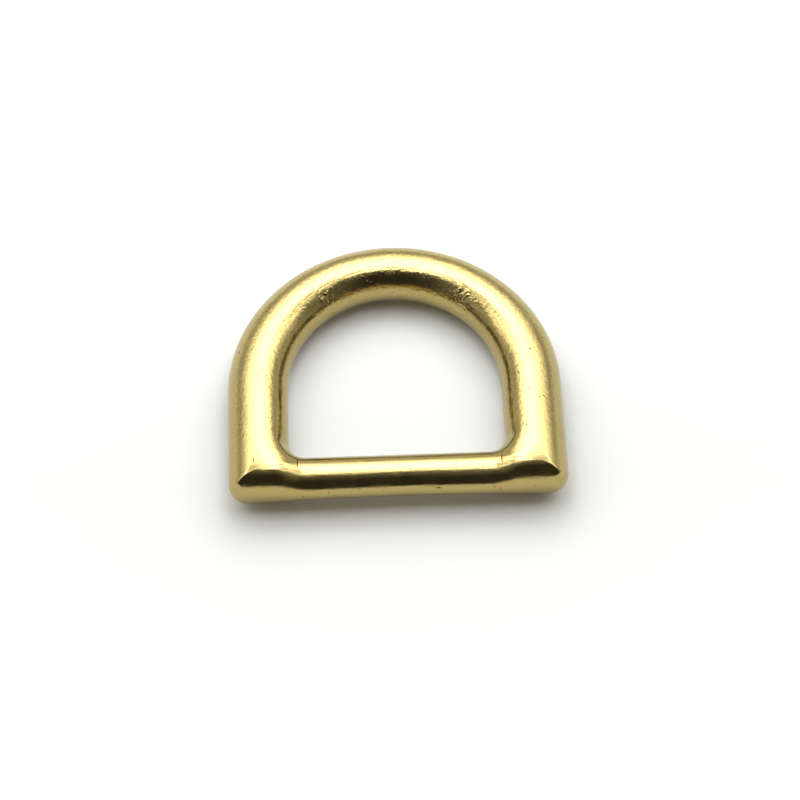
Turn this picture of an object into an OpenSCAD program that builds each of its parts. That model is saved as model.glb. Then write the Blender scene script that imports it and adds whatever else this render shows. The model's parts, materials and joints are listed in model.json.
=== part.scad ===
// A solid D ring, cast in one piece, lying flat.
// The bar runs along X at the front, the arch stands off along +Y and the thickness is along Z.
// The origin is under the middle of the ring's box, on the surface that it lies on.
// The ring is one closed skin of section lines that run all the way round the D.

/* [Opening] */
// Clear width between the two legs
inner_w = 16; // [12:0.5:30]
// Clear height from the bar to the top of the arch
inner_h = 14; // [12:0.5:30]

/* [Arch and legs] */
// Thickness of the round legs
leg_d = 4.5; // [3.5:0.1:6]
// Height of the curved part of the arch, measured on its middle line
arch_rise = 10.25; // [8:0.25:12]
// Width of the arch at its top, in the plane of the ring
arch_w = 4; // [3:0.1:5.5]
// Thickness of the arch at its top, across the plane of the ring
arch_t = 4.3; // [3:0.1:5.5]

/* [Bar] */
// Width of the bar, in the plane of the ring
bar_w = 3.05; // [2:0.05:4]
// Thickness of the bar, across the plane of the ring
bar_t = 3.05; // [2:0.05:4]
// How far the bar's waist, at its middle, lies behind the front of the feet
bar_inset = 0.08; // [0:0.02:0.6]

/* [Feet] */
// Distance from the front of a foot back to its crest
foot_depth = 1.8; // [1.3:0.05:2.4]
// Distance from a leg's middle line to where its foot starts to thin
foot_reach = 1.2; // [0:0.05:2]
// Length over which a foot thins down to the bar
flare_l = 2.3; // [1.5:0.1:4]
// Rounding of a foot's outer corner at mid height, seen from above
corner_r = 1.25; // [0.5:0.05:2.2]
// Rounding of the crease that runs up each outer corner
crease_r = 0.12; // [0.08:0.02:0.4]
// Where the crease starts and ends, by the share of the half width from the crest to the outer side
crease_start = 0.3; // [0.1:0.05:0.5]
crease_end = 0.7; // [0.55:0.05:0.8]
// Rounding on the crest, where the crease has faded
crest_r = 1.4; // [0.3:0.1:2]
// Fillet between the tops of a leg and the bar
shoulder_r = 2.2; // [1:0.1:3.2]
// Fillet between a leg and the bar, inside the opening
fillet_r = 1.25; // [0.6:0.05:2]
// Length over which the inner side of a leg rises from the foot to its full thickness
rise_l = 3; // [1.5:0.1:4]

/* [Fineness] */
// Flats round the section
section_steps = 36; // [24:4:48]
// Steps along each half of the arch
arch_steps = 20; // [12:1:28]
// Steps along each half of the bar, each flare, each corner and each straight leg
bar_steps = 4; // [2:1:8]
flare_steps = 8; // [6:1:12]
corner_steps = 8; // [6:1:12]
leg_steps = 3; // [2:1:6]

/* [Hidden] */

// Middle line of the legs, and mid height of the whole ring
leg_x = (inner_w + leg_d) / 2;
mid_z = leg_d / 2;

// Back of the bar, where the arch begins, and the ring's whole depth
bar_back = bar_inset + bar_w;
arch_y = bar_back + inner_h + arch_w / 2 - arch_rise;
ring_depth = arch_y + arch_rise + arch_w / 2;

// Radius of the turn at each corner, by the share of the half width from the crest to the outer side.
// The crease runs up the upper side only, and the underside is round.
shoulder_share = 0.5;
crease_fade = 0.2;
inner_turns = [[-1, fillet_r], [-shoulder_share, shoulder_r], [0, crest_r]];
upper_turns = concat(inner_turns, [
    [crease_start, crease_r],
    [crease_end, crease_r],
    [crease_end + crease_fade, corner_r],
    [1, corner_r]
]);
under_turns = concat(inner_turns, [[crease_end, corner_r], [1, corner_r]]);

// The foot has its full size from the flare's end, and the bar is plain up to its own end,
// which every line reaches before it flares or turns
flare_end = leg_x - foot_reach;
flare_start = flare_end - flare_l;
shoulder_start = leg_x - leg_d / 2 * shoulder_share - shoulder_r;
bar_end = min(flare_start, inner_w / 2 - fillet_r, shoulder_start) - fillet_r / 3;

// A step from 0 to 1 that starts and ends level
function ease(t) = let (c = min(max(t, 0), 1)) c * c * (3 - 2 * c);
function mix(a, b, t) = a + (b - a) * t;

// How much of a foot there is at x: 0 on the bar, 1 on the foot
function foot_share(x) = ease((x - flare_start) / flare_l);
// How far the front lies back at x, from the bar's waist out to the foot
function inset(x) = bar_inset * (1 - ease(x / flare_end));
// Crest line and half thickness of the front run, from the bar to the foot
function crest_y(x) = mix(bar_inset + bar_w / 2, foot_depth, foot_share(x));
function front_half_t(x) = mix(bar_t / 2, leg_d / 2, foot_share(x));
// Half thickness at x, where a line has left the front run by so much up the leg
function risen_half_t(x, lift) = mix(front_half_t(x), leg_d / 2, ease(lift / rise_l));

// Each section line is named by its angle round the section:
// 0 is the outer side, 90 the crest, 180 the side facing the opening and 270 the underside.
// Place of a line on the front run, where the outer side faces the front
function front_y(x, angle) =
    let (c = cos(angle))
    crest_y(x) - (c > 0 ? crest_y(x) - inset(x) : bar_back - crest_y(x)) * c;
// Where a line would turn its corner if the corner were sharp
function corner_x(angle) = leg_x + leg_d / 2 * cos(angle);
function corner_y(angle) = front_y(corner_x(angle), angle);
// Radius of that turn, eased between the rows of the table
function turn_r(angle) =
    let (c = cos(angle),
         turns = sin(angle) < 0 ? under_turns : upper_turns,
         i = max([for (k = [0 : len(turns) - 2]) if (c >= turns[k][0]) k]),
         a = turns[i],
         b = turns[i + 1])
    mix(a[1], b[1], ease((c - a[0]) / (b[0] - a[0])));

function front_run_point(x, angle) = [x, front_y(x, angle), front_half_t(x) * sin(angle)];

// Point of a line at share t of each stretch
function bar_point(angle, t) = front_run_point(bar_end * t, angle);
function flare_point(angle, t) = front_run_point(mix(bar_end, corner_x(angle) - turn_r(angle), t), angle);
function corner_point(angle, t) =
    let (r = turn_r(angle),
         turn = 90 * (t - 1),
         x = corner_x(angle) - r + r * cos(turn),
         lift = r + r * sin(turn))
    [x, front_y(x, angle) + lift, risen_half_t(x, lift) * sin(angle)];
function leg_point(angle, t) =
    let (x = corner_x(angle),
         y = mix(corner_y(angle) + turn_r(angle), arch_y, t))
    [x, y, risen_half_t(x, y - corner_y(angle)) * sin(angle)];
function arch_point(angle, t) =
    let (turn = 90 * t,
         thin = pow(sin(turn), 2),
         out = [arch_rise * cos(turn), leg_x * sin(turn)] / norm([arch_rise * cos(turn), leg_x * sin(turn)]),
         reach = mix(leg_d, arch_w, thin) / 2 * cos(angle))
    [leg_x * cos(turn) + out[0] * reach,
     arch_y + arch_rise * sin(turn) + out[1] * reach,
     mix(leg_d, arch_t, thin) / 2 * sin(angle)];

function section(kind, t) = [
    for (i = [0 : section_steps - 1])
        let (angle = 360 * i / section_steps)
        kind == "bar" ? bar_point(angle, t)
            : kind == "flare" ? flare_point(angle, t)
            : kind == "corner" ? corner_point(angle, t)
            : kind == "leg" ? leg_point(angle, t)
            : arch_point(angle, t)
];
function mirrored(points) = [for (p = points) [-p[0], p[1], p[2]]];

// Sections of the right half between the middle of the bar and the top of the arch
half = concat(
    [for (i = [1 : bar_steps - 1]) section("bar", i / bar_steps)],
    [for (i = [0 : flare_steps - 1]) section("flare", i / flare_steps)],
    [for (i = [0 : corner_steps - 1]) section("corner", i / corner_steps)],
    [for (i = [0 : leg_steps - 1]) section("leg", i / leg_steps)],
    [for (i = [0 : arch_steps - 1]) section("arch", i / arch_steps)]
);
count = len(half);
sections = concat(
    [section("bar", 0)],
    half,
    [section("arch", 1)],
    [for (i = [count - 1 : -1 : 0]) mirrored(half[i])]
);

// A closed tube through a ring of sections that have as many points each
module closed_tube(rings) {
    n = len(rings);
    m = len(rings[0]);
    polyhedron(
        points = [for (ring = rings) each ring],
        faces = [
            for (i = [0 : n - 1], j = [0 : m - 1])
                let (a = i * m + j,
                     b = i * m + (j + 1) % m,
                     c = (i + 1) % n * m + (j + 1) % m,
                     d = (i + 1) % n * m + j)
                each [[a, b, c], [a, c, d]]
        ]
    );
}

module d_ring()
    color("#c8a85a")
        translate([0, -ring_depth / 2, mid_z])
            closed_tube(sections);

d_ring();
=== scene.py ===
"""A solid cast brass D ring, lying on a white sheet in plain soft studio light.

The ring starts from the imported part's own solid. It is joined into one skin of quads, smoothed,
and given the slight unevenness of a tumbled casting. Lengths are in metres unless a name says mm.
"""

import json
import math

import bpy
from bpy.props import FloatProperty, FloatVectorProperty, IntProperty, PointerProperty
from bpy.types import Operator, Panel, PropertyGroup
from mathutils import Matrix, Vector

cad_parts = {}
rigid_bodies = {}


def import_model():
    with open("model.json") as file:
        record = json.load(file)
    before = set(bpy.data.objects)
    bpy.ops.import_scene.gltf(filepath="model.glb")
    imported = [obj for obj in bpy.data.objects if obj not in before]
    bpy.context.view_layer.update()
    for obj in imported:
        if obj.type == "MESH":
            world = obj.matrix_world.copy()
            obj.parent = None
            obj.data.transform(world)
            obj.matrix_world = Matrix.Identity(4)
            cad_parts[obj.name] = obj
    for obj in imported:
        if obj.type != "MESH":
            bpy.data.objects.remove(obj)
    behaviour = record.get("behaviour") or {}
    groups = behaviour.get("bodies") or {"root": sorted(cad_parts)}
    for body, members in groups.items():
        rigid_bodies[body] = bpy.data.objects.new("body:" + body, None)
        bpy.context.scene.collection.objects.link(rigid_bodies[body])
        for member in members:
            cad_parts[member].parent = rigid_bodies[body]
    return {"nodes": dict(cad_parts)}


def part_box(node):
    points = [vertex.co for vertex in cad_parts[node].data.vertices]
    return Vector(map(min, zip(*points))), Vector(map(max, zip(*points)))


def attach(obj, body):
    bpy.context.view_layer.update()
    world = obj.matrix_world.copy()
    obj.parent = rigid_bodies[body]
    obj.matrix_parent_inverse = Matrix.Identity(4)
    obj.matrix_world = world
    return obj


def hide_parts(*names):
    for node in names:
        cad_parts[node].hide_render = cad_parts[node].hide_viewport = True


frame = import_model()

bl_info = {
    "name": "Brass D Ring",
    "version": (1, 0, 0),
    "blender": (4, 5, 0),
    "location": "View3D > Sidebar > D Ring",
    "description": "Models a cast brass D ring and the small studio that it is seen in",
    "category": "Add Mesh",
}

MM = 0.001
CAD_NODE = "d_ring"
CAD_BODY = "root"

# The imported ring's own box, which its finished piece stays inside
LOW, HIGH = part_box(CAD_NODE)
MIDDLE = (LOW + HIGH) / 2

# Side of the photograph in pixels, and width in mm of the picture that the camera's lens is given for
PHOTO_SIDE = 800
PICTURE_WIDTH_MM = 36.0

# Marks on this casting: the pixel of the photograph where each is seen, its half sizes in mm and its
# turn about the vertical in degrees
MARKS = {
    # Cold seams where the bar meets the legs
    "left_seam": ((297, 462), (0.08, 0.62, 0.45), 0),
    "right_seam": ((501, 457), (0.08, 0.65, 0.25), 0),
    # A crack and scratches
    "left_foot_crack": ((253, 460), (0.05, 0.4, 0.2), 8),
    "left_foot_scratch": ((303, 496), (0.16, 0.1, 0.1), 0),
    "bar_scratch": ((438, 487), (0.2, 0.06, 0.08), 0),
    "right_leg_scratch": ((539, 396), (0.1, 0.07, 0.2), 30),
    "right_leg_second_scratch": ((543, 395), (0.2, 0.05, 0.2), -30),
    "left_leg_scratch": ((251, 349), (0.2, 0.06, 0.2), 40),
    "left_leg_outer_scratch": ((239, 352), (0.05, 0.2, 0.3), 0),
    "arch_scratch": ((371, 282), (0.18, 0.07, 0.25), 20),
    # Pits
    "bar_left_pit": ((328, 492), (0.09, 0.09, 0.08), 0),
    "bar_second_pit": ((359, 488), (0.09, 0.09, 0.09), 0),
    "bar_middle_pit": ((382, 490), (0.07, 0.07, 0.07), 0),
    "bar_right_pit": ((440, 487), (0.08, 0.08, 0.08), 0),
    "right_foot_small_pit": ((494, 486), (0.09, 0.09, 0.07), 0),
    "right_foot_pit": ((500, 488), (0.11, 0.11, 0.11), 0),
    "right_foot_outer_pit": ((535, 485), (0.09, 0.09, 0.09), 0),
    "left_leg_pit": ((242, 435), (0.1, 0.1, 0.1), 0),
    "left_leg_inner_pit": ((276, 365), (0.08, 0.08, 0.08), 0),
    "left_leg_upper_pit": ((262, 370), (0.08, 0.08, 0.08), 0),
    "left_leg_middle_pit": ((258, 373), (0.07, 0.07, 0.07), 0),
    "left_leg_lower_pit": ((266, 375), (0.07, 0.07, 0.07), 0),
    "right_leg_top_pit": ((530, 348), (0.16, 0.09, 0.1), 0),
    "right_leg_upper_pit": ((516, 353), (0.08, 0.08, 0.08), 0),
    "right_leg_inner_pit": ((518, 372), (0.12, 0.07, 0.1), 40),
    "right_leg_middle_pit": ((529, 387), (0.07, 0.07, 0.07), 0),
    "right_leg_low_pit": ((526, 424), (0.07, 0.16, 0.1), 0),
}
# Patches where the mould left the skin wrinkled, on the inner shoulders of the arch
WRINKLED_SPOTS = {
    "left_shoulder": ((326, 296), (1.1, 0.8, 1.2), 45),
    "right_shoulder": ((464, 297), (1.7, 0.9, 1.2), -45),
}
# The share of its size at which a mark or a pit, and at which a wrinkled patch, starts to fade
MARK_CORE = 0.4
WRINKLED_CORE = 0.3

# Rise of the arch's middle line and half the arch's width, which give the middle of its curve
ARCH_RISE = 10.25 * MM
ARCH_HALF_WIDTH = 2.0 * MM
ARCH_CENTRE = Vector((0.0, HIGH.y - ARCH_HALF_WIDTH - ARCH_RISE, 0.0))

# A faint groove along the arch, with a dark line painted in it as a painted reflection of the seam
# between the lights: its distance from the middle of the curve, the half widths where it ends and where
# it is full, the places along Y where it starts and is full, the noise at which it is gone and at which
# it is full, and how strong a mark it is
LINE_RADIUS = ARCH_RISE - 0.73 * MM
LINE_EDGE = (0.1 * MM, 0.03 * MM)
LINE_START = (0.0, 3.0 * MM)
LINE_BREAKING = (0.42, 0.58)
LINE_STRENGTH = 0.45
# A scale along Z so vast that only a distance across the plane of the ring counts
FLATTENED = 1e9

# Noises in the brass, each with the size of its features in mm and its detail: clouds of warmer
# colour, wrinkles from the mould and patches of better polish. Tumbling media leave dimples of about
# 0.3 mm, and a satin of 0.05 mm that is drawn coarser to show.
NOISES = {
    "clouds": (3.0, 2.0),
    "dimples": (0.3, 1.0),
    "satin": (0.14, 3.0),
    "wrinkles": (0.5, 2.0),
    "polish": (1.2, 3.0),
}
NOISE_MEAN = 0.5
# Streaks that polishing left along the bar: their width in mm, their detail, and how many times as
# long as wide they are
STREAK_WIDTH_MM = 0.22
STREAK_DETAIL = 2.0
STREAK_LENGTHENED = 10.0

# Where the skin changes from the bar's to that of the legs and the arch, along Y
BAR_SKIN_END = LOW.y + 2.2 * MM
ARCH_SKIN_START = LOW.y + 5 * MM
# The bar is the smoothest part, with this share of the arch's dimples, pits and film of tarnish
BAR_ROUGH_SHARE = 0.3

# Small round pits, each kind with its spacing in mm, its radius in mm and the share of places that
# have one
LARGE_PITS = (1.0, 0.08, 0.4)
SMALL_PITS = (0.5, 0.055, 0.6)

# Height of each kind of relief in mm, below the skin where it is negative
SATIN_HEIGHT_MM = -0.008
DIMPLE_HEIGHT_MM = 0.02
STREAK_HEIGHT_MM = 0.008
WRINKLE_HEIGHT_MM = 0.16
MARK_HEIGHT_MM = -0.015

# Tarnish: how much of it is in the marks, whose dark colour along the groove on the arch is a painted
# reflection of the seam between the lights, the noise at which a film of it starts in the satin's
# hollows and at which it is full, and how much of it that film has
MARK_TARNISH_AND_PAINTED_LINE = 0.85
FILM_NOISE = (0.5, 0.72)
FILM_TARNISH = 0.35

# Roughness of the brass where the polish is best and where it is worst, and the noise at each
BRASS_ROUGHNESS = (0.12, 0.24)
POLISH_NOISE = (0.3, 0.7)

# The white sheet is matt card, with hardly any shine
SHEET_ROUGHNESS = 0.9
SHEET_SPECULAR = 0.1

# Corners of the solid's loose triangles this close together are one corner
MERGE_DISTANCE = 0.001 * MM

# Where the camera looks, at the ring's mid height
AIM = Vector((0.36 * MM, LOW.y + 7.96 * MM, MIDDLE.z))

# The room by the turn from the camera's side, from where it is dark to where it is pale
ROOM_TURN = (math.radians(25), math.radians(115))
# The rise of a sight line at which the ceiling starts and is full, and how pale it is
CEILING_RISE = (0.8, 1.0)
CEILING_PALENESS = 0.3
# The rise of a sight line up to which the walls glow with the white sheet's light and at which that
# has gone, and how much brighter it makes them
WALL_GLOW_RISE = (0.08, 0.3)
WALL_GLOW = 1.35


def linear(hex_colour):
    """An sRGB hex colour such as "#c8a85a" as linear red, green and blue."""
    channels = [int(hex_colour[i:i + 2], 16) / 255 for i in (1, 3, 5)]
    return tuple(c / 12.92 if c <= 0.04045 else ((c + 0.055) / 1.055) ** 2.4 for c in channels)


def per_metre(size_mm):
    """The scale of a pattern whose features are this many millimetres apart."""
    return 1 / (size_mm * MM)


def add_node(tree, kind, inputs=None, **settings):
    """Add a node with its settings. An input takes a value, an output or a node's first live output."""
    node = tree.nodes.new(kind)
    for name, value in settings.items():
        setattr(node, name, value)
    for socket, value in (inputs or {}).items():
        if isinstance(value, bpy.types.Node):
            value = next(output for output in value.outputs if output.enabled)
        if isinstance(value, bpy.types.NodeSocket):
            tree.links.new(value, node.inputs[socket])
        else:
            node.inputs[socket].default_value = value
    return node


def new_material(name):
    """A material with an empty node tree."""
    material = bpy.data.materials.new(name)
    material.use_nodes = True
    material.node_tree.nodes.clear()
    return material


def deselect_all():
    """Leave nothing selected, so that an operator acts only on what is picked next."""
    if bpy.context.mode != "OBJECT":
        bpy.ops.object.mode_set(mode="OBJECT")
    bpy.ops.object.select_all(action="DESELECT")


def apply_modifier(piece, kind, **settings):
    """Give the piece a modifier and apply it."""
    bpy.context.view_layer.objects.active = piece
    bpy.ops.object.modifier_add(type=kind)
    modifier = piece.modifiers[-1]
    for name, value in settings.items():
        setattr(modifier, name, value)
    bpy.ops.object.modifier_apply(modifier=modifier.name)


class RingSettings(PropertyGroup):
    """Sizes and colours of the ring's surface."""

    smoothing: IntProperty(
        name="Smoothing",
        description="How often each face of the solid is split into four",
        default=2, min=0, max=2,
    )
    wave_size: FloatProperty(
        name="Wave Size",
        description="Distance between the soft waves that tumbling leaves",
        default=1.8 * MM, min=0.5 * MM, unit="LENGTH",
    )
    wave_height: FloatProperty(
        name="Wave Height",
        description="Height of those waves from hollow to crest",
        default=0.016 * MM, min=0.0, unit="LENGTH",
    )
    brass_colour: FloatVectorProperty(
        name="Brass Colour",
        description="Colour of the clean, polished brass",
        subtype="COLOR", size=3, min=0.0, max=1.0, default=linear("#b19f69"),
    )
    warm_colour: FloatVectorProperty(
        name="Warm Colour",
        description="Colour of the faintly warmer clouds in the casting",
        subtype="COLOR", size=3, min=0.0, max=1.0, default=linear("#b09c61"),
    )
    # This colour also darkens the groove along the arch, as a painted reflection of the seam between
    # the lights
    tarnish_and_painted_line_colour: FloatVectorProperty(
        name="Stain Colour",
        description="Colour of the tarnish that stays in pits and hollows",
        subtype="COLOR", size=3, min=0.0, max=1.0, default=linear("#5c4a2c"),
    )


class StudioSettings(PropertyGroup):
    """Places and strengths of the camera, floor and lights."""

    camera_turn: FloatProperty(
        name="Camera Turn",
        description="Angle of the camera round the ring, from straight in front",
        default=math.radians(-2.21), subtype="ANGLE",
    )
    camera_height: FloatProperty(
        name="Camera Height",
        description="Angle of the camera above the floor",
        default=math.radians(60.5), subtype="ANGLE",
    )
    camera_distance: FloatProperty(
        name="Camera Distance",
        description="Distance from the camera to the point that it looks at",
        default=0.18, min=0.05, unit="LENGTH",
    )
    lens: FloatProperty(
        name="Lens",
        description="Focal length for a picture 36 mm wide",
        default=108.4, min=20.0, unit="CAMERA",
    )
    lamp_strength: FloatProperty(
        name="Lamp Strength",
        description="Brightness that the lamp gives to the diffusion cloth right in front of it",
        default=5.9, min=0.0,
    )
    lamp_offset: FloatProperty(
        name="Lamp Offset",
        description="How far the lamp is behind the ring, as a share of the cloth's height",
        default=0.34,
    )
    lamp_spread: FloatProperty(
        name="Lamp Spread",
        description="How far from the lamp it gives a quarter, as a share of the cloth's height",
        default=1.2, min=0.1,
    )
    cloth_glow: FloatProperty(
        name="Cloth Glow",
        description="Brightness of the diffusion cloth far from its lamp",
        default=0.5, min=0.0,
    )
    floor_colour: FloatVectorProperty(
        name="Floor Colour",
        description="Colour of the white sheet",
        subtype="COLOR", size=3, min=0.0, max=1.0, default=linear("#c8cac8"),
    )
    room_colour: FloatVectorProperty(
        name="Room Colour",
        description="Colour of the room at the sides and back",
        subtype="COLOR", size=3, min=0.0, max=1.0, default=linear("#d2d6d2"),
    )
    doubled_share: FloatProperty(
        name="Doubled Share",
        description="Share of the light that the near cloth lets through where it is doubled",
        default=0.3, min=0.0, max=1.0,
    )
    side_window_share: FloatProperty(
        name="Side Window Share",
        description="Light of the window on the left, as a share of the far cloth's light",
        default=1.7, min=1.0,
    )
    front_window_share: FloatProperty(
        name="Front Window Share",
        description="Light of the window at the front left, as a share of the far cloth's light",
        default=1.3, min=0.0,
    )
    bounce_colour: FloatVectorProperty(
        name="Bounce Colour",
        description="Colour of the warm light that the table in front gives back",
        subtype="COLOR", size=3, min=0.0, max=1.0, default=linear("#ffe9bc"),
    )
    bounce_strength: FloatProperty(
        name="Bounce Strength",
        description="Brightness of that warm light",
        default=1.6, min=0.0,
    )
    dark_colour: FloatVectorProperty(
        name="Dark Colour",
        description="Colour of the unlit side where the camera stands",
        subtype="COLOR", size=3, min=0.0, max=1.0, default=linear("#3a3a3a"),
    )


def camera_pose(studio):
    """Where the camera stands, and how it is turned to look down at the ring."""
    back = Vector((
        math.sin(studio.camera_turn) * math.cos(studio.camera_height),
        -math.cos(studio.camera_turn) * math.cos(studio.camera_height),
        math.sin(studio.camera_height),
    ))
    return AIM + back * studio.camera_distance, (-back).to_track_quat("-Z", "Y")


def seen_at(piece, studio, pixel):
    """The place on the piece that the photograph shows at this pixel."""
    stand, turned = camera_pose(studio)
    across, down = ((v + 0.5) / PHOTO_SIDE - 0.5 for v in pixel)
    width = PICTURE_WIDTH_MM / studio.lens
    sight = turned @ Vector((across * width, -down * width, -1.0))
    hit, place, _normal, _face = piece.ray_cast(stand, sight)
    if not hit:
        raise ValueError(f"pixel {pixel} of the photograph is beside the ring")
    return place


def on_piece(piece, studio, table):
    """The ovals of a table, each with the place on the piece where the photograph shows it."""
    return [
        (seen_at(piece, studio, pixel), half_sizes_mm, turn)
        for pixel, half_sizes_mm, turn in table.values()
    ]


def spots(tree, place, ovals, core):
    """A mask of 1 inside these ovals, which starts to fade at this share of their size."""
    mask = 0.0
    for centre, half_sizes_mm, turn in ovals:
        oval = add_node(
            tree, "ShaderNodeMapping",
            {
                "Vector": place,
                "Location": centre,
                "Rotation": (0.0, 0.0, math.radians(turn)),
                "Scale": [size_mm * MM for size_mm in half_sizes_mm],
            },
            vector_type="TEXTURE",
        )
        far = add_node(tree, "ShaderNodeVectorMath", {0: oval}, operation="LENGTH").outputs["Value"]
        inside = add_node(
            tree, "ShaderNodeMapRange", {"Value": far, "From Min": 1.0, "From Max": core},
            interpolation_type="SMOOTHSTEP",
        )
        mask = add_node(tree, "ShaderNodeMath", {0: inside, 1: mask}, operation="MAXIMUM")
    return mask


def pits(tree, place, spacing_mm, radius_mm, share):
    """A mask of 1 in small round pits, in this share of the cells that are this far apart."""
    cells = add_node(tree, "ShaderNodeTexVoronoi", {"Vector": place, "Scale": per_metre(spacing_mm)})
    inside = add_node(
        tree, "ShaderNodeMapRange",
        {
            "Value": cells.outputs["Distance"],
            "From Min": radius_mm / spacing_mm, "From Max": MARK_CORE * radius_mm / spacing_mm,
        },
        interpolation_type="SMOOTHSTEP",
    )
    draw = add_node(tree, "ShaderNodeSeparateColor", {"Color": cells.outputs["Color"]})
    chosen = add_node(tree, "ShaderNodeMath", {0: draw, 1: share}, operation="LESS_THAN")
    return add_node(tree, "ShaderNodeMath", {0: inside, 1: chosen}, operation="MULTIPLY")


def painted_seam_reflection(tree, place, breaking):
    """A mask on a thin groove along the arch, which comes and goes with this noise. The dark colour
    that it gets there is a painted reflection of the seam between the lights.
    """
    flat = add_node(
        tree, "ShaderNodeMapping",
        {"Vector": place, "Location": ARCH_CENTRE, "Scale": (1.0, 1.0, FLATTENED)},
        vector_type="TEXTURE",
    )
    radius = add_node(tree, "ShaderNodeVectorMath", {0: flat}, operation="LENGTH").outputs["Value"]
    beside = add_node(tree, "ShaderNodeMath", {0: radius, 1: LINE_RADIUS}, operation="SUBTRACT")
    off = add_node(tree, "ShaderNodeMath", {0: beside}, operation="ABSOLUTE")
    along = add_node(tree, "ShaderNodeSeparateXYZ", {"Vector": place}).outputs["Y"]
    mask = LINE_STRENGTH
    for value, (none_at, full_at) in ((off, LINE_EDGE), (along, LINE_START), (breaking, LINE_BREAKING)):
        share = add_node(
            tree, "ShaderNodeMapRange", {"Value": value, "From Min": none_at, "From Max": full_at},
            interpolation_type="SMOOTHSTEP",
        )
        mask = add_node(tree, "ShaderNodeMath", {0: share, 1: mask}, operation="MULTIPLY")
    return mask


def brass_noises(tree, place):
    """The brass's noises by name, with the streaks along the bar."""
    noise = {
        name: add_node(
            tree, "ShaderNodeTexNoise",
            {"Vector": place, "Scale": per_metre(size_mm), "Detail": detail},
        )
        for name, (size_mm, detail) in NOISES.items()
    }
    lengthwise = add_node(
        tree, "ShaderNodeMapping", {"Vector": place, "Scale": (1 / STREAK_LENGTHENED, 1.0, 1.0)},
    )
    noise["streaks"] = add_node(
        tree, "ShaderNodeTexNoise",
        {"Vector": lengthwise, "Scale": per_metre(STREAK_WIDTH_MM), "Detail": STREAK_DETAIL},
    )
    return noise


def from_bar_to_arch(tree, place, bar_share, arch_share):
    """One share on the bar, another on the legs and the arch, and a ramp between them."""
    along = add_node(tree, "ShaderNodeSeparateXYZ", {"Vector": place}).outputs["Y"]
    return add_node(
        tree, "ShaderNodeMapRange",
        {
            "Value": along, "From Min": BAR_SKIN_END, "From Max": ARCH_SKIN_START,
            "To Min": bar_share, "To Max": arch_share,
        },
    )


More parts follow.
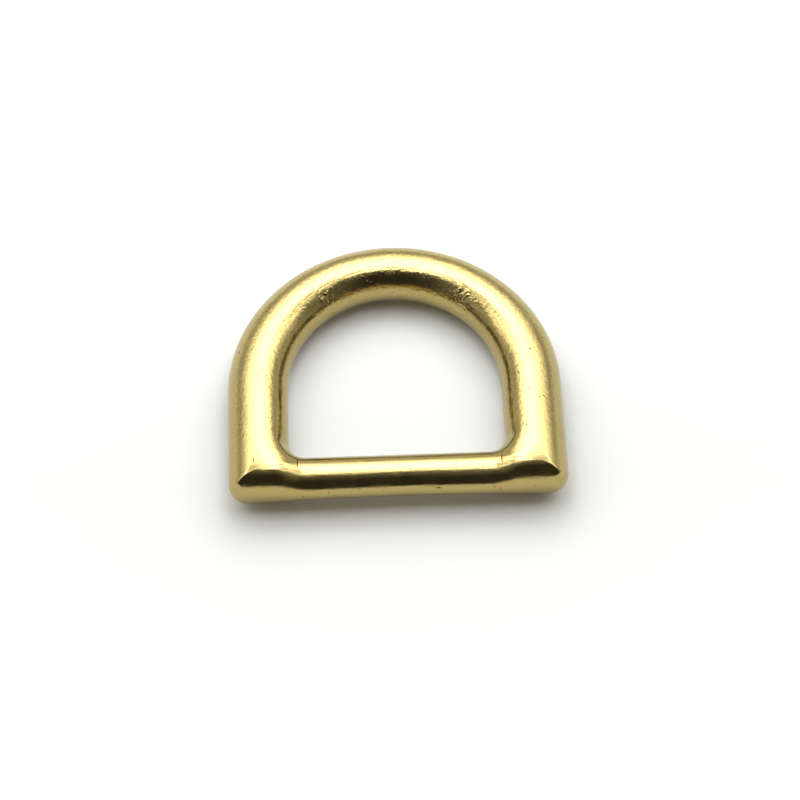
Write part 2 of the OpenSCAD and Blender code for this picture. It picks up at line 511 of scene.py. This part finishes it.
def brass_material(ring, marked, wrinkled):
    """Cast brass, tumble-polished: a warm mirror, a little softened and uneven, with these ovals on it.

    The eye gets broad creamy highlights with wavering, feathered edges, wrinkled patches where the
    mould was rough, and fine pits and scratches that hold dark tarnish.
    """
    material = new_material("tumble_polished_cast_brass")
    tree = material.node_tree
    place = add_node(tree, "ShaderNodeTexCoord").outputs["Object"]
    noise = brass_noises(tree, place)
    rough_end = from_bar_to_arch(tree, place, BAR_ROUGH_SHARE, 1.0)
    smooth_end = from_bar_to_arch(tree, place, 1.0, 0.0)

    tumbled = add_node(
        tree, "ShaderNodeMath",
        {0: pits(tree, place, *LARGE_PITS), 1: pits(tree, place, *SMALL_PITS)},
        operation="MAXIMUM",
    )
    marks = add_node(tree, "ShaderNodeMath", {0: tumbled, 1: rough_end}, operation="MULTIPLY")
    # Besides the real marks, the marks take in the groove along the arch, whose dark colour is a
    # painted reflection of the seam between the lights
    for more in (spots(tree, place, marked, MARK_CORE), painted_seam_reflection(tree, place, noise["polish"])):
        marks = add_node(tree, "ShaderNodeMath", {0: marks, 1: more}, operation="MAXIMUM")

    # Wrinkles go up and down from the skin, so that their patch has no edge
    wrinkles = add_node(
        tree, "ShaderNodeMath", {0: noise["wrinkles"], 1: NOISE_MEAN}, operation="SUBTRACT",
    )
    # Each kind of relief where it shows, with its height
    height = 0.0
    for relief, where, height_mm in (
        (noise["satin"], 1.0, SATIN_HEIGHT_MM),
        (noise["dimples"], rough_end, DIMPLE_HEIGHT_MM),
        (noise["streaks"], smooth_end, STREAK_HEIGHT_MM),
        (wrinkles, spots(tree, place, wrinkled, WRINKLED_CORE), WRINKLE_HEIGHT_MM),
        (marks, 1.0, MARK_HEIGHT_MM),
    ):
        here = add_node(tree, "ShaderNodeMath", {0: relief, 1: where}, operation="MULTIPLY")
        height = add_node(
            tree, "ShaderNodeMath", {0: here, 1: height_mm, 2: height}, operation="MULTIPLY_ADD",
        )
    bump = add_node(tree, "ShaderNodeBump", {"Height": height, "Strength": 1.0, "Distance": MM})

    clean = add_node(
        tree, "ShaderNodeMix",
        {"Factor": noise["clouds"], "A": (*ring.brass_colour, 1), "B": (*ring.warm_colour, 1)},
        data_type="RGBA",
    )
    # Fine hollows of the satin keep a thin film of tarnish
    film = add_node(
        tree, "ShaderNodeMapRange",
        {
            "Value": noise["satin"], "From Min": FILM_NOISE[0], "From Max": FILM_NOISE[1],
            "To Max": FILM_TARNISH,
        },
    )
    hollows = add_node(tree, "ShaderNodeMath", {0: film, 1: rough_end}, operation="MULTIPLY")
    dark_marks = add_node(tree, "ShaderNodeMath", {0: marks, 1: MARK_TARNISH_AND_PAINTED_LINE}, operation="MULTIPLY")
    # Tarnish in the marks and in the hollows, and a painted reflection in the groove along the arch
    tarnish_and_painted_line = add_node(tree, "ShaderNodeMath", {0: dark_marks, 1: hollows}, operation="MAXIMUM")
    colour = add_node(
        tree, "ShaderNodeMix", {"Factor": tarnish_and_painted_line, "A": clean, "B": (*ring.tarnish_and_painted_line_colour, 1)},
        data_type="RGBA",
    )
    roughness = add_node(
        tree, "ShaderNodeMapRange",
        {
            "Value": noise["polish"], "From Min": POLISH_NOISE[0], "From Max": POLISH_NOISE[1],
            "To Min": BRASS_ROUGHNESS[0], "To Max": BRASS_ROUGHNESS[1],
        },
    )
    shader = add_node(
        tree, "ShaderNodeBsdfPrincipled",
        {"Base Color": colour, "Metallic": 1.0, "Roughness": roughness, "Normal": bump},
    )
    add_node(tree, "ShaderNodeOutputMaterial", {"Surface": shader})
    return material


def sheet_material(studio):
    """Matt white card: bright and even, with no shine of its own."""
    material = new_material("matt_white_card")
    tree = material.node_tree
    shader = add_node(
        tree, "ShaderNodeBsdfPrincipled",
        {
            "Base Color": (*studio.floor_colour, 1), "Roughness": SHEET_ROUGHNESS,
            "Specular IOR Level": SHEET_SPECULAR,
        },
    )
    add_node(tree, "ShaderNodeOutputMaterial", {"Surface": shader})
    return material


def cloth_material(studio, height, share):
    """White diffusion cloth at this height, which gives this share of the lamp's light."""
    material = new_material("lit_diffusion_cloth")
    tree = material.node_tree
    place = add_node(tree, "ShaderNodeTexCoord").outputs["Object"]
    centre, spread = studio.lamp_offset * height, studio.lamp_spread * height
    lamp_place = add_node(
        tree, "ShaderNodeMapping",
        {"Vector": place, "Location": (0, centre, height), "Scale": (spread, spread, spread)},
        vector_type="TEXTURE",
    )
    # The lamp's light falls off as one over the square of (1 + distance squared)
    squared = add_node(
        tree, "ShaderNodeVectorMath", {0: lamp_place, 1: lamp_place}, operation="DOT_PRODUCT",
    )
    away = add_node(tree, "ShaderNodeMath", {0: squared.outputs["Value"], 1: 1.0}, operation="ADD")
    fade = add_node(tree, "ShaderNodeMath", {0: away, 1: away}, operation="MULTIPLY")
    lamp = add_node(tree, "ShaderNodeMath", {0: studio.lamp_strength, 1: fade}, operation="DIVIDE")
    total = add_node(tree, "ShaderNodeMath", {0: lamp, 1: studio.cloth_glow}, operation="ADD")
    passed = add_node(tree, "ShaderNodeMath", {0: total, 1: share}, operation="MULTIPLY")
    light = add_node(tree, "ShaderNodeEmission", {"Strength": passed})
    add_node(tree, "ShaderNodeOutputMaterial", {"Surface": light})
    return material


def bounce_material(studio):
    """Wooden table top in the lamplight: it fills the shadows with a little warm light."""
    material = new_material("warm_table_bounce")
    tree = material.node_tree
    light = add_node(
        tree, "ShaderNodeEmission",
        {"Color": (*studio.bounce_colour, 1), "Strength": studio.bounce_strength},
    )
    add_node(tree, "ShaderNodeOutputMaterial", {"Surface": light})
    return material


def room_world(studio):
    """A room that is pale at the back and dark on the camera's side, under a dim ceiling."""
    world = bpy.data.worlds.new("studio_room")
    world.use_nodes = True
    tree = world.node_tree
    tree.nodes.clear()
    direction = add_node(tree, "ShaderNodeTexCoord").outputs["Generated"]
    parts = add_node(tree, "ShaderNodeSeparateXYZ", {"Vector": direction})
    forward = add_node(tree, "ShaderNodeMath", {0: parts.outputs["Y"], 1: -1.0}, operation="MULTIPLY")
    turn = add_node(tree, "ShaderNodeMath", {0: parts.outputs["X"], 1: forward}, operation="ARCTAN2")
    turned = add_node(tree, "ShaderNodeMath", {0: turn}, operation="ABSOLUTE")
    share = add_node(
        tree, "ShaderNodeMapRange",
        {"Value": turned, "From Min": ROOM_TURN[0], "From Max": ROOM_TURN[1]},
    )
    ceiling = add_node(
        tree, "ShaderNodeMapRange",
        {
            "Value": parts.outputs["Z"], "From Min": CEILING_RISE[0], "From Max": CEILING_RISE[1],
            "To Max": CEILING_PALENESS,
        },
    )
    pale = add_node(tree, "ShaderNodeMath", {0: share, 1: ceiling}, operation="MAXIMUM")
    colour = add_node(
        tree, "ShaderNodeMix",
        {"Factor": pale, "A": (*studio.dark_colour, 1), "B": (*studio.room_colour, 1)},
        data_type="RGBA",
    )
    # The walls are brightest low down, next to the white sheet on the floor
    low = add_node(
        tree, "ShaderNodeMapRange",
        {
            "Value": parts.outputs["Z"], "From Min": WALL_GLOW_RISE[0], "From Max": WALL_GLOW_RISE[1],
            "To Min": WALL_GLOW, "To Max": 1.0,
        },
    )
    background = add_node(tree, "ShaderNodeBackground", {"Color": colour, "Strength": low})
    add_node(tree, "ShaderNodeOutputWorld", {"Surface": background})
    return world


def joined_copy(node_name, piece_name):
    """A copy of a CAD node whose loose triangles are joined into one skin of quads."""
    deselect_all()
    node = frame["nodes"][node_name]
    node.select_set(True)
    bpy.context.view_layer.objects.active = node
    bpy.ops.object.duplicate()
    piece = bpy.context.active_object
    bpy.ops.object.parent_clear(type="CLEAR_KEEP_TRANSFORM")
    # The copy is no CAD node, so it drops what names it as one
    for key in list(piece.keys()):
        del piece[key]
    piece.name = piece_name
    piece.data.name = piece_name
    piece.data.materials.clear()
    bpy.ops.object.mode_set(mode="EDIT")
    bpy.ops.mesh.select_all(action="SELECT")
    bpy.ops.mesh.remove_doubles(threshold=MERGE_DISTANCE)
    bpy.ops.mesh.tris_convert_to_quads(
        face_threshold=math.pi, shape_threshold=math.pi, topology_influence=2.0,
    )
    bpy.ops.mesh.normals_make_consistent(inside=False)
    bpy.ops.object.mode_set(mode="OBJECT")
    bpy.ops.mesh.customdata_custom_splitnormals_clear()
    return piece


def tumble(piece, ring):
    """Give the piece the soft waves that tumbling leaves, half of them outwards and half inwards."""
    waves = bpy.data.textures.new("tumbled_waves", type="CLOUDS")
    waves.noise_scale = ring.wave_size
    waves.noise_depth = 1
    apply_modifier(
        piece, "DISPLACE", texture=waves, texture_coords="LOCAL",
        direction="NORMAL", mid_level=0.5, strength=ring.wave_height,
    )


class DRING_OT_ring(Operator):
    """Model the cast ring and finish it in tumble-polished brass"""

    bl_idname = "dring.ring"
    bl_label = "Ring"

    def execute(self, context):
        ring, studio = context.scene.dring_ring, context.scene.dring_studio
        piece = joined_copy(CAD_NODE, "cast_ring")
        context.view_layer.update()
        marked, wrinkled = (on_piece(piece, studio, table) for table in (MARKS, WRINKLED_SPOTS))
        apply_modifier(piece, "SUBSURF", levels=ring.smoothing, render_levels=ring.smoothing)
        tumble(piece, ring)
        bpy.ops.object.shade_smooth()
        piece.data.materials.append(brass_material(ring, marked, wrinkled))
        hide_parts(CAD_NODE)
        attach(piece, CAD_BODY)
        return {"FINISHED"}


class DRING_OT_studio(Operator):
    """Lay the white sheet, hang the light and set up the camera"""

    bl_idname = "dring.studio"
    bl_label = "Studio"

    FLOOR_SIDE = 2.0
    # A round cloth hangs close over the ring, under a large one that hangs high above it
    NEAR_CLOTH_HEIGHT = 0.055
    NEAR_CLOTH_RADIUS = 0.06
    NEAR_CLOTH_SIDES = 64
    NEAR_CLOTH_FRONT = -0.011
    # Each sheet's height, from and to along X, and from and to along Y
    FAR_CLOTHS = {
        "far_cloth": (0.5, (-2.0, 2.0), (-0.05, 1.4)),
        "far_left_flap": (0.5, (-2.0, -0.45), (-0.08, -0.05)),
        "far_right_flap": (0.5, (0.45, 2.0), (-0.08, -0.05)),
    }
    # Two curtained windows bring more light in, one on the left and one at the front left
    SIDE_WINDOW = {
        "far_window_side": (0.495, (-1.7, -0.6), (-0.05, 0.3)),
    }
    FRONT_WINDOW = {
        "far_window_front": (0.495, (-1.4, -0.75), (-0.62, -0.25)),
    }
    # The near cloth is doubled along its front hem and over the ring's two sides
    DOUBLED_CLOTHS = {
        "front_hem": (0.0545, (-0.018, 0.018), (-0.0125, -0.009)),
        "left_wing": (0.054, (-0.032, -0.011), (-0.008, 0.0155)),
        "right_wing": (0.054, (0.011, 0.032), (-0.008, 0.0155)),
    }
    # The table's warm light comes from an upright sheet in front, by its width, height and distance
    BOUNCE_SIZE = (0.4, 0.2)
    BOUNCE_DISTANCE = 0.3
    CLIP_START = 0.01

    def execute(self, context):
        studio = context.scene.dring_studio
        self.lay_floor(studio)
        self.hang_light(studio)
        self.place_camera(context, studio)
        context.scene.world = room_world(studio)
        context.scene.view_settings.view_transform = "Standard"
        return {"FINISHED"}

    def lay_floor(self, studio):
        """A large plain sheet just under the ring."""
        deselect_all()
        bpy.ops.mesh.primitive_plane_add(size=self.FLOOR_SIDE, location=(0, 0, LOW.z))
        floor = bpy.context.active_object
        floor.name = "white_sheet"
        floor.data.materials.append(sheet_material(studio))

    def hang_light(self, studio):
        """Soft light above, behind and in front of the ring, which the camera itself doesn't see."""
        deselect_all()
        bpy.ops.mesh.primitive_circle_add(
            radius=self.NEAR_CLOTH_RADIUS, vertices=self.NEAR_CLOTH_SIDES, fill_type="NGON",
            location=(0, self.NEAR_CLOTH_FRONT + self.NEAR_CLOTH_RADIUS, self.NEAR_CLOTH_HEIGHT),
        )
        self.hang("near_cloth", cloth_material(studio, self.NEAR_CLOTH_HEIGHT, 1.0))
        for cloths, share in (
            (self.FAR_CLOTHS, 1.0),
            (self.SIDE_WINDOW, studio.side_window_share),
            (self.FRONT_WINDOW, studio.front_window_share),
            (self.DOUBLED_CLOTHS, studio.doubled_share),
        ):
            for name, sizes in cloths.items():
                self.add_sheet(*sizes)
                self.hang(name, cloth_material(studio, sizes[0], share))
        deselect_all()
        bpy.ops.mesh.primitive_plane_add(
            size=1, location=(0, -self.BOUNCE_DISTANCE, self.BOUNCE_SIZE[1] / 2),
            rotation=(math.radians(90), 0, 0),
        )
        bounce = bpy.context.active_object
        bounce.scale = (*self.BOUNCE_SIZE, 1)
        bounce.visible_glossy = False
        self.hang("table_bounce", bounce_material(studio))

    def add_sheet(self, height, across, along):
        """A level sheet at this height, between two places along X and two along Y."""
        deselect_all()
        bpy.ops.mesh.primitive_plane_add(size=1, location=(sum(across) / 2, sum(along) / 2, height))
        bpy.context.active_object.scale = (across[1] - across[0], along[1] - along[0], 1)

    def hang(self, name, material):
        """Finish the sheet that was just added."""
        sheet = bpy.context.active_object
        sheet.name = name
        bpy.ops.object.transform_apply(location=True, rotation=True, scale=True)
        sheet.data.materials.append(material)
        sheet.visible_camera = False

    def place_camera(self, context, studio):
        """A camera where the photograph was taken from."""
        stand, turned = camera_pose(studio)
        deselect_all()
        bpy.ops.object.camera_add(location=stand, rotation=turned.to_euler())
        camera = bpy.context.active_object
        camera.name = "studio_camera"
        camera.data.lens = studio.lens
        camera.data.clip_start = self.CLIP_START
        context.scene.camera = camera


class DRING_PT_panel(Panel):
    """Buttons for the ring and its studio"""

    bl_idname = "DRING_PT_panel"
    bl_label = "D Ring"
    bl_space_type = "VIEW_3D"
    bl_region_type = "UI"
    bl_category = "D Ring"

    def draw(self, context):
        for operator in OPERATORS:
            self.layout.operator(operator.bl_idname)


OPERATORS = (DRING_OT_ring, DRING_OT_studio)
CLASSES = (RingSettings, StudioSettings, *OPERATORS, DRING_PT_panel)


def register():
    """Register the add-on's classes and its settings."""
    for cls in CLASSES:
        bpy.utils.register_class(cls)
    bpy.types.Scene.dring_ring = PointerProperty(type=RingSettings)
    bpy.types.Scene.dring_studio = PointerProperty(type=StudioSettings)


def unregister():
    """Take the add-on's settings and classes out again."""
    del bpy.types.Scene.dring_studio
    del bpy.types.Scene.dring_ring
    for cls in reversed(CLASSES):
        bpy.utils.unregister_class(cls)


def main():
    """Model the ring and its studio."""
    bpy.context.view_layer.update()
    register()
    bpy.ops.dring.ring()
    bpy.ops.dring.studio()


if __name__ == "__main__":
    main()
